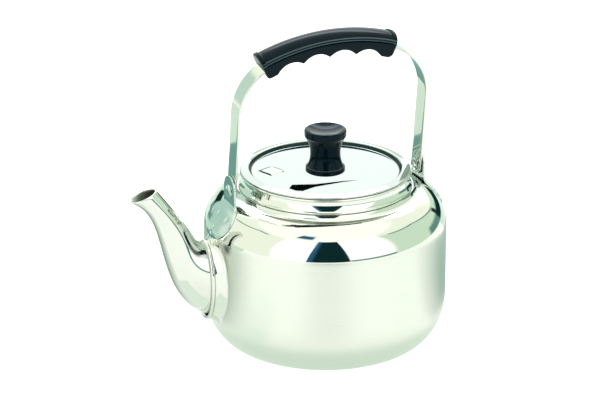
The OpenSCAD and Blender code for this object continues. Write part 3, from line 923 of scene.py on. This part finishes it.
def lid():
    """The pressed lid: sunk panel, soft step, sloping brim and hemmed edge."""
    hollow_r, crown_r = 2.6, 1.9
    rise = BRIM_IN[1] + SHEET / 2 - PANEL_Z
    bend = math.degrees(math.acos(1 - rise / (hollow_r + crown_r)))
    foot_r = PANEL_R - 1.9
    hollow = (foot_r, PANEL_Z + hollow_r)
    reach = (hollow_r + crown_r) * math.sin(math.radians(bend))
    crown = (foot_r + reach, PANEL_Z + rise - crown_r)
    hem = (BRIM_R - HEM_R, HEM_Z)
    fall = math.degrees(math.asin((crown[1] - hem[1] + HEM_R - crown_r) / math.dist(crown, hem)))
    fall += math.degrees(math.asin((crown_r - HEM_R) / math.dist(crown, hem)))

    top = path(
        line((0, PANEL_Z), (foot_r, PANEL_Z), 3),
        arc(hollow, hollow_r, -90, -90 + bend, 20),
        arc(crown, crown_r, 90 + bend, 90 - fall, 20),
        line(polar(crown, crown_r, 90 - fall), polar(hem, HEM_R, 90 - fall), 1),
        arc(hem, HEM_R, 90 - fall, -90, 20),
    )
    under = path(
        line((hem[0] - 0.2, HEM_Z - HEM_R), (hem[0] - 1.6, HEM_Z - HEM_R), 1),
        [(hem[0] - 1.6, HEM_Z - 0.15)],
        line((hem[0] - 1.7, HEM_Z + 0.1), polar(crown, crown_r - SHEET, 90 - fall), 1),
        arc(crown, crown_r - SHEET, 90 - fall, 90 + bend, 12),
        arc(hollow, hollow_r + SHEET, -90 + bend, -90, 16),
        line((foot_r, PANEL_Z - SHEET), (0, PANEL_Z - SHEET), 3),
    )
    mesh = make_mesh("lid", *lathe(top + under))
    add_piece("lid", mesh, "lid", "polished_steel", LID, "lid_pan")


def vent_hood():
    """A lanced hood: the sheet is slit on one side and pushed up, and runs out flat on the others."""
    long_steps, wide_steps = 24, 28
    skin_t = 0.35
    grids = []
    for lower in (0.0, skin_t):
        grid = []
        for i in range(long_steps + 1):
            u = i / long_steps
            row = []
            for k in range(wide_steps + 1):
                v = -1 + 2 * k / wide_steps
                across = (1 - abs(v) ** 8) ** 0.5
                fall = max(0.0, (u - 0.7) / 0.3)
                height = HOOD_RISE * math.sqrt(max(0.0, 1 - fall * fall)) * across
                rise = max(height, 0.01) - lower
                row.append(at_vent(VENT_LEN * (u - 0.5), VENT_HALF_W * v, rise))
            grid.append(row)
        grids.append(grid)
    mesh = make_mesh("vent_hood", *two_sided(*grids), sharp=45)
    add_piece("vent_hood", mesh, "lid", "polished_steel", MIRROR)


def vent_slit_shadow():
    """A dark ribbon of painted shadow over the cut round the hood: open along its back, its right end and its
    left end.
    """
    half_l, half_w, corner = VENT_LEN / 2 + 0.4, VENT_HALF_W + 0.8, 4.5
    trail = path(
        line((-half_l, -half_w * 0.35), (-half_l, half_w), 0.5),
        line((-half_l, half_w), (half_l - corner, half_w), 0.5),
        arc((half_l - corner, half_w - corner), corner, 90, 0, 12),
        line((half_l, half_w - corner), (half_l, corner - half_w), 0.5),
        arc((half_l - corner, corner - half_w), corner, 0, -70, 10),
    )
    section = ((1, -0.3), (1, 0.12), (-1, 0.12), (-1, -0.3))
    rings = []
    for i, (x, y) in enumerate(trail):
        before, after = trail[max(i - 1, 0)], trail[min(i + 1, len(trail) - 1)]
        run = Vector((after[0] - before[0], after[1] - before[1])).normalized()
        width = 0.35 + 0.55 * abs(run.x)
        side = (-run.y * width, run.x * width)
        rings.append([at_vent(x + s * side[0], y + s * side[1], z) for s, z in section])
    mesh = make_mesh("vent_slit_shadow", *skin(rings))
    # The ribbon is painted shadow: a dark sheet laid on the panel along the cut, where the slit would be
    # shaded.
    add_piece("vent_slit_shadow", mesh, "lid", "polished_steel", SLIT_SHADOW)


def lid_collar():
    inner, outer = MOUTH_R - 1.5, MOUTH_R - 0.5
    foot = HEM_Z - 10.0
    top = HEM_Z + 0.1
    profile = path(
        line((outer, foot + 0.3), (outer, top), 1),
        line((inner, top), (inner, foot), 1),
        arc((inner, foot), 0.5, 180, 360, 8),
    )
    mesh = make_mesh("lid_skirt", *lathe(profile))
    add_piece("lid_skirt", mesh, "lid", "polished_steel", MIRROR, "lid_collar")


def knob():
    """A moulded knob: round foot, waist, and a rim round a dished top."""
    foot_r, waist_r, waist_z, rim_r, top = 16.3, 12.4, 15.3, 17.3, KNOB_H
    arc_r = 26.0
    centre = (waist_r + arc_r, waist_z)
    lower = 180 + math.degrees(math.asin((waist_z - 4.2) / arc_r))
    upper = 180 - math.degrees(math.asin((29.6 - waist_z) / arc_r))
    lower_r = centre[0] - arc_r * math.cos(math.radians(lower - 180))
    profile = path(
        [(0, 0)],
        line((4, 0), (foot_r - 0.5, 0), 3),
        arc((foot_r - 0.7, 0.7), 0.7, -80, 0, 6),
        line((foot_r, 0.9), (foot_r - 0.2, 3.4), 1),
        arc((foot_r - 0.9, 3.5), 0.7, 0, 80, 6),
        line((lower_r + 0.1, 4.2), (lower_r, 4.3), 1),
        arc(centre, arc_r, lower, upper, 40),
        arc((rim_r - 1.0, 30.6), 1.0, -60, 0, 6),
        line((rim_r, 30.8), (rim_r, top - 1.5), 1),
        arc((rim_r - 1.5, top - 1.5), 1.5, 0, 90, 10),
        arc((0, top + 37.5 - 2.6), 37.5, math.degrees(-math.acos(14.6 / 37.5)), -90, 24),
    )
    profile = [(r if r > 1e-5 else 0.0, PANEL_Z + z) for r, z in profile]
    mesh = make_mesh("knob", *lathe(profile, 128))
    piece = add_piece("knob", mesh, "lid", "black_plastic", KNOB_BLACK, "lid_knob")
    piece.visible_glossy = False


# ---------------------------------------------------------------- stage


def flat_stage(name, corners, material):
    """One flat face of the studio, with its corners in millimetres."""
    mesh = bpy.data.meshes.new(name)
    mesh.from_pydata([tuple(np.array(c) * MM) for c in corners], [], [tuple(range(len(corners)))])
    mesh.materials.append(material)
    piece = new_object(name, mesh)
    return piece


def floor():
    """A round white table top. Past its edge the tent begins."""
    table_r, sides = 1400, 128
    around = full_turn(sides)
    s = Shader("white floor")
    s.set(Base_Color=(0.42, 0.42, 0.42, 1), Roughness=0.9, Specular_IOR_Level=0.0)
    s.set(Emission_Color=(1, 1, 1, 1), Emission_Strength=0.92)
    flat_stage("floor", [(table_r * math.cos(a), table_r * math.sin(a), 0) for a in around], s.material)


CLOTH_MIDDLE, CLOTH_HALF, CLOTH_FADE = 168, 108, 32
CLOTH_NEAR_R = 118
TABLE_TONE = (1.4, 1.4, 1.4)


def card(name, corners, colour, soft=False):
    """A flat card that only shows in the steel: the camera and the floor don't see it. A soft one runs
    out into the tone of the table at its near edge and to both sides."""
    s = Shader(name)
    s.set(Base_Color=(0, 0, 0, 1), Specular_IOR_Level=0.0, Emission_Color=(*colour, 1), Emission_Strength=1.0)
    if soft:
        x, y, _, _ = s.position()
        radius = s.radius(x, y)
        middle, half, fade = [math.radians(a) for a in (CLOTH_MIDDLE, CLOTH_HALF, CLOTH_FADE)]
        ahead = s.minus(s.times(x, math.sin(middle)), s.times(y, math.cos(middle)))
        turn = s.math("ARCCOSINE", s.math("DIVIDE", ahead, radius))
        sides = s.remap(turn, half - fade, half, 0.0, 1.0)
        near = s.remap(radius, CLOTH_NEAR_R * MM, (CLOTH_NEAR_R + 54) * MM, 1.0, 0.0)
        s.link(s.mix(s.math("MAXIMUM", sides, near), colour, TABLE_TONE), "Emission Color")
    piece = flat_stage(name, corners, s.material)
    piece.visible_camera = False
    piece.visible_diffuse = False
    piece.visible_shadow = False


def at_bearing(radius, degrees, height):
    """A point over the table. A bearing of 0 is towards -Y, and 90 is towards +X."""
    a = math.radians(degrees)
    return radius * math.sin(a), -radius * math.cos(a), height


SLAT_Z = 215.0
SLAT = [(-44, -26.5), (-38, -19), (-19, -25.5), (6, -28), (21.5, -31.5), (5, -30.5), (-22, -32), (-35.5, -37),
        (-40.5, -34)]
SEEN_ALONG = (0.365, 0.859, 0.358)


def cards():
    """Cloths on the table give the bright steel its darker edges, and a black slat hung behind the kettle
    shows in the lid. SLAT is the outline of its mirror image on the lid's panel."""
    low, high, far_r, seam_r = 0.6, 1.2, 1380, 370

    def fan(near_r, far_r, bearings):
        near = [at_bearing(near_r, a, low) for a in reversed(bearings)]
        return near + [at_bearing(far_r, a, low) for a in bearings]

    bearings = range(CLOTH_MIDDLE - CLOTH_HALF, CLOTH_MIDDLE + CLOTH_HALF + 1, 9)
    card("near_cloth", fan(CLOTH_NEAR_R, seam_r, bearings), (0.42, 0.59, 0.51), True)
    far_edge = [(x, y, high) for x, y in ((330, 560), (60, 480), (-15, 415), (-86, 400), (-420, 508))]
    near_edge = [at_bearing(seam_r - 10, a, high) for a in range(250, 120, -10)]
    card("far_cloth", near_edge + far_edge, (0.24, 0.50, 0.46))
    card("pale_cloth", fan(seam_r + 15, far_r, range(110, 261, 10)), (1.02, 1.22, 1.08))
    card("foot_cloth", fan(60, 116, range(0, 361, 10)), (1.0, 1.15, 1.05))
    card("spout_cloth", fan(117, 200, range(262, 300, 6)), (1.20, 1.36, 1.26))
    along_x, along_y, along_z = SEEN_ALONG
    away = (SLAT_Z - PANEL_Z) / along_z
    slat = [(x + along_x * away, y + along_y * away, SLAT_Z) for x, y in SLAT]
    card("black_slat", slat, (0.002, 0.006, 0.006))


class Tent(Nodes):
    """The white tent round the kettle, drawn by bearing and height above the horizon, both in degrees."""

    def __init__(self):
        self.world = bpy.data.worlds.new("white tent")
        super().__init__(self.world)
        place = self.nodes.new("ShaderNodeTexCoord")
        split = self.nodes.new("ShaderNodeSeparateXYZ")
        self.links.new(place.outputs["Generated"], split.inputs[0])
        x, y, z = split.outputs
        degrees = 180 / math.pi
        self.bearing = self.times(self.math("ARCTAN2", x, self.times(y, -1.0)), degrees)
        self.height = self.times(self.math("ARCSINE", z), degrees)
        self.colour = (1, 1, 1)

    def ramp(self, value, points):
        """A broken line through (value, result) points, held flat past its ends."""
        low, high = points[0][0], points[-1][0]
        floor_y = min(r for _, r in points)
        span = max(max(r for _, r in points) - floor_y, 1e-6)
        node = self.nodes.new("ShaderNodeFloatCurve")
        curve = node.mapping.curves[0]
        spots = [((v - low) / (high - low), (r - floor_y) / span) for v, r in points]
        curve.points[0].location = spots[0]
        curve.points[1].location = spots[-1]
        for spot in spots[1:-1]:
            curve.points.new(*spot)
        for point in curve.points:
            point.handle_type = "VECTOR"
        node.mapping.update()
        placed = self.math("DIVIDE", self.minus(value, low), high - low)
        self.links.new(self.math("MINIMUM", self.math("MAXIMUM", placed, 0.0), 1.0), node.inputs["Value"])
        return self.math("ADD", self.times(node.outputs[0], span), floor_y)

    def over(self, value, edge, soft):
        """1 where value is past edge and 0 before it, blurred over soft degrees."""
        gap = self.minus(value, edge)
        placed = self.math("ADD", self.math("DIVIDE", gap, soft), 0.5)
        return self.math("MINIMUM", self.math("MAXIMUM", placed, 0.0), 1.0)

    def under(self, value, edge, soft):
        """1 where value is short of edge, and 0 past it."""
        return self.minus(1.0, self.over(value, edge, soft))

    def between(self, value, low, high, soft):
        """1 where value is between low and high."""
        return self.times(self.over(value, low, soft), self.under(value, high, soft))

    def patch(self, bearings, heights, soft=1.0):
        """A mask over a range of bearings and a range of heights."""
        across = self.between(self.bearing, *bearings, soft)
        return self.times(across, self.between(self.height, *heights, soft))

    def paint(self, mask, colour):
        """Lays a colour over what is there, where the mask is 1."""
        self.colour = self.mix(mask, self.colour, colour)

    def finish(self):
        """The camera itself sees plain white."""
        to_camera = self.nodes.new("ShaderNodeLightPath").outputs["Is Camera Ray"]
        seen = self.mix(to_camera, self.colour, (1.3, 1.3, 1.3))
        self.links.new(seen, self.nodes["Background"].inputs["Color"])
        bpy.context.scene.world = self.world


def tent():
    """White cloth lit from above, with the gap for the camera, its seams and the dark room past them."""
    t = Tent()
    white, roof, back = (1.85, 1.85, 1.9), (1.75, 1.8, 1.7), (1.9, 1.95, 2.0)
    cream, green = (1.48, 1.52, 1.38), (0.98, 1.22, 1.0)
    seam, dark, blue = (0.20, 0.42, 0.40), (0.006, 0.035, 0.042), (0.03, 0.16, 0.34)
    strip, shade, deep = (6.0, 6.6, 7.2), (0.85, 1.10, 1.0), (0.18, 0.42, 0.37)
    t.paint(1.0, cream)
    t.paint(t.between(t.bearing, -75, 46, 5), white)
    t.paint(t.over(t.bearing, 128, 10), back)
    t.paint(t.under(t.bearing, -160, 10), back)
    fold = t.ramp(t.bearing, [(45, 50), (60, 45), (90, 36), (117, 17), (180, 5)])
    from_fold = t.minus(t.height, fold)
    t.paint(t.times(t.over(t.bearing, 46, 6), t.under(from_fold, 0.0, 2.0)), green)
    near_fold = t.between(from_fold, -1.2, 1.2, 1.0)
    t.paint(t.times(t.between(t.bearing, 58, 120, 4), near_fold), seam)
    left_seam = t.ramp(t.bearing, [(-150, 35), (-147, 36), (-115, 49), (-100, 50)])
    near_seam = t.between(t.minus(t.height, left_seam), -1.0, 1.0, 1.0)
    t.paint(t.times(t.between(t.bearing, -147, -100, 4), near_seam), seam)
    t.paint(t.over(t.height, 54, 4), roof)
    t.paint(t.patch((122, 192), (36, 50), 3.0), strip)
    t.paint(t.patch((-180, -138), (-6, 28), 5.0), shade)
    t.paint(t.patch((-178, -160), (-6, 5), 3.0), deep)
    t.paint(t.patch((92, 128), (-6, 8), 5.0), deep)
    gap_left = t.ramp(t.height, [(-6, -41), (57, -32.5)])
    gap_right = t.ramp(t.height, [(-6, 0), (57, -7.5)])
    from_left = t.minus(t.bearing, gap_left)
    from_right = t.minus(gap_right, t.bearing)
    in_gap = t.times(t.over(from_left, 0.0, 1.0), t.over(from_right, 0.0, 1.0))
    in_gap = t.times(in_gap, t.between(t.height, -6, 57, 2))
    t.paint(in_gap, dark)
    t.paint(t.times(in_gap, t.under(from_left, 5.0, 3.0)), blue)
    t.paint(t.patch((0, 46), (-6, -0.5)), seam)
    t.paint(t.patch((-70, -42), (62, 72), 4.0), blue)
    t.paint(t.patch((117, 142), (-6, 6)), dark)
    t.paint(t.patch((115, 120), (0, 15)), dark)
    t.paint(t.math("MAXIMUM", t.patch((174, 190), (3, 15), 2.0), t.patch((-190, -174), (3, 15), 2.0)), dark)
    t.finish()


def camera():
    """A long lens, a little above the kettle and from the spout's side of its front."""
    place = Vector((-0.9304, -2.1310, 1.0186))
    target = Vector((-0.01645, 0.01422, 0.11714))
    data = bpy.data.cameras.new("camera")
    data.lens = 181.9
    data.sensor_width = 36.0
    data.clip_start, data.clip_end = 0.1, 100.0
    piece = new_object("camera", data)
    piece.location = place
    piece.rotation_mode = "QUATERNION"
    piece.rotation_quaternion = (target - place).to_track_quat("-Z", "Y")
    bpy.context.scene.camera = piece


# ---------------------------------------------------------------- the kettle

pot_wall()
shoulder()
neck()
spout()
spout_collar()
spout_bead()
for name, side in (("front", -1), ("rear", 1)):
    ear(f"{name}_ear_plate", side, f"{name}_ear")
    rivet(f"{name}_rivet", side, f"{name}_pivot_rivet")
    washer(f"{name}_washer", side, f"{name}_pivot_washer")
strap()
grip_top()
grip_bottom()
lid()
vent_hood()
vent_slit_shadow()
lid_collar()
knob()

CAD_FINISH = {
    "grip_screws": EAR,
    "knob_insert": BRASS,
    "knob_washer": EAR,
    "knob_screw": EAR,
    "whistle_cup": MIRROR,
    "whistle_disc": MIRROR,
}
for node, material in CAD_FINISH.items():
    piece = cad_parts[node]
    piece.data.materials.clear()
    piece.data.materials.append(material)
    piece.visible_glossy = node not in ("knob_insert", "knob_screw")

floor()
cards()
tent()
camera()
bpy.context.scene.view_settings.view_transform = "Standard"
